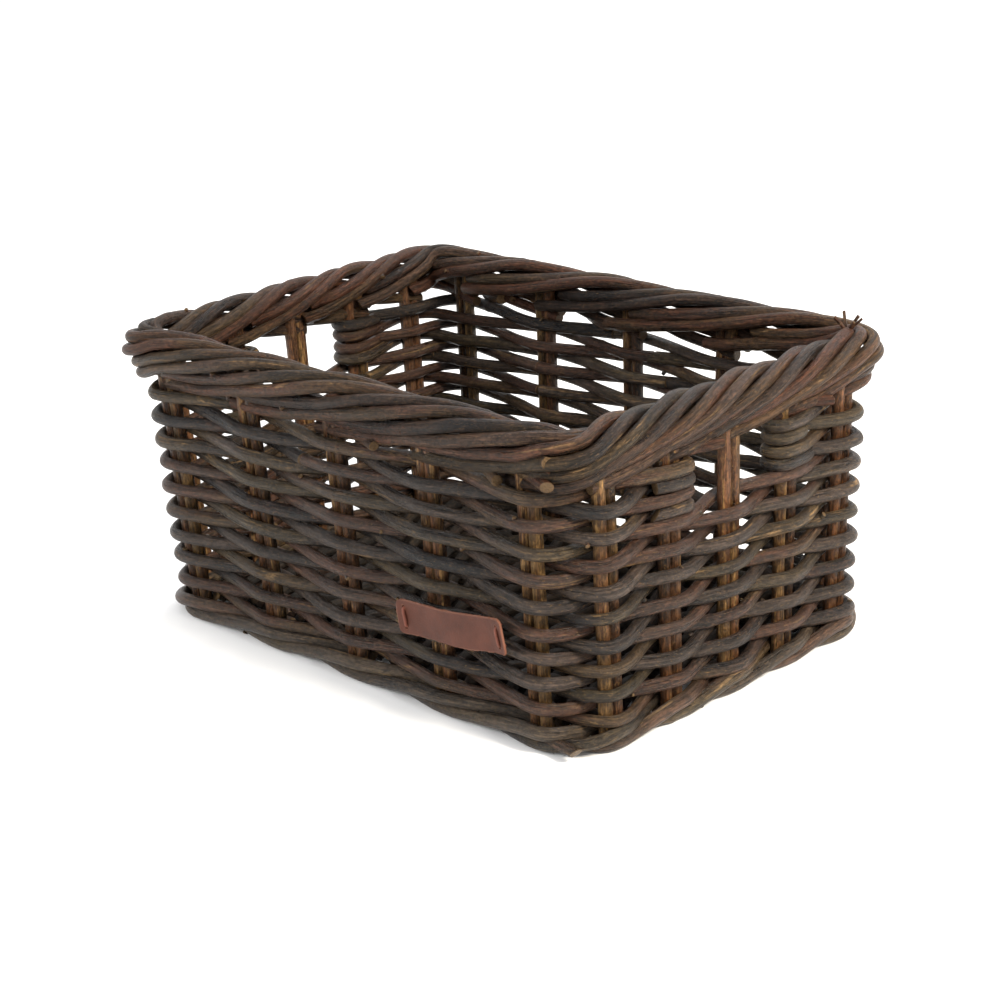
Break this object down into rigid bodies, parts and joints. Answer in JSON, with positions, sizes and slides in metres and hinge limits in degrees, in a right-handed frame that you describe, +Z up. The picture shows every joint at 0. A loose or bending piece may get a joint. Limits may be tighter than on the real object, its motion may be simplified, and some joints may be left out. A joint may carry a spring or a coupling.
{
  "type": "rectangular wicker storage basket",
  "caption": "Open rectangular basket of woven rattan rods on paired upright stakes, with a rolled border, a woven base, a hand hole in each short wall and a leather tag on the front.",
  "frame": {"origin": "on the surface the basket stands on, under the middle of its outline", "axes": "+X along the long walls, +Y across to the back long wall, +Z up; the tagged front wall faces -Y"},
  "size_m": [0.43, 0.3, 0.2],
  "materials": {
    "weaver_rattan": "satin",
    "stake_rattan": "satin",
    "wale_rattan": "satin",
    "border_rattan": "satin",
    "base_rattan": "matte",
    "tag_leather": "satin",
    "thong_leather": "satin"
  },
  "bodies": {
    "root": {"base_rods_even": "base_rattan", "base_rods_odd": "base_rattan", "base_sticks": "base_rattan", "border_back": "border_rattan", "border_front": "border_rattan", "border_left": "border_rattan", "border_right": "border_rattan", "foot_wale_back": "wale_rattan", "foot_wale_front": "wale_rattan", "foot_wale_left": "wale_rattan", "foot_wale_right": "wale_rattan", "leather_tag": "tag_leather", "row_01": "weaver_rattan", "row_02": "weaver_rattan", "row_03": "weaver_rattan", "row_04": "weaver_rattan", "row_05": "weaver_rattan", "row_06": "weaver_rattan", "row_07": "weaver_rattan", "row_08": "weaver_rattan", "row_09": "weaver_rattan", "row_10": "weaver_rattan", "row_11": "weaver_rattan", "row_12": "weaver_rattan", "row_13": "weaver_rattan", "row_14": "weaver_rattan", "row_15_back": "weaver_rattan", "row_15_front": "weaver_rattan", "row_16_back": "weaver_rattan", "row_16_front": "weaver_rattan", "row_17_back": "weaver_rattan", "row_17_front": "weaver_rattan", "row_18_back": "weaver_rattan", "row_18_front": "weaver_rattan", "stakes_back_1": "stake_rattan", "stakes_back_2": "stake_rattan", "stakes_back_3": "stake_rattan", "stakes_back_4": "stake_rattan", "stakes_back_5": "stake_rattan", "stakes_front_1": "stake_rattan", "stakes_front_2": "stake_rattan", "stakes_front_3": "stake_rattan", "stakes_front_4": "stake_rattan", "stakes_front_5": "stake_rattan", "stakes_left_1": "stake_rattan", "stakes_left_2": "stake_rattan", "stakes_left_3": "stake_rattan", "stakes_left_4": "stake_rattan", "stakes_left_5": "stake_rattan", "stakes_right_1": "stake_rattan", "stakes_right_2": "stake_rattan", "stakes_right_3": "stake_rattan", "stakes_right_4": "stake_rattan", "stakes_right_5": "stake_rattan", "tag_thong_left": "thong_leather", "tag_thong_right": "thong_leather"}
  },
  "joints": []
}
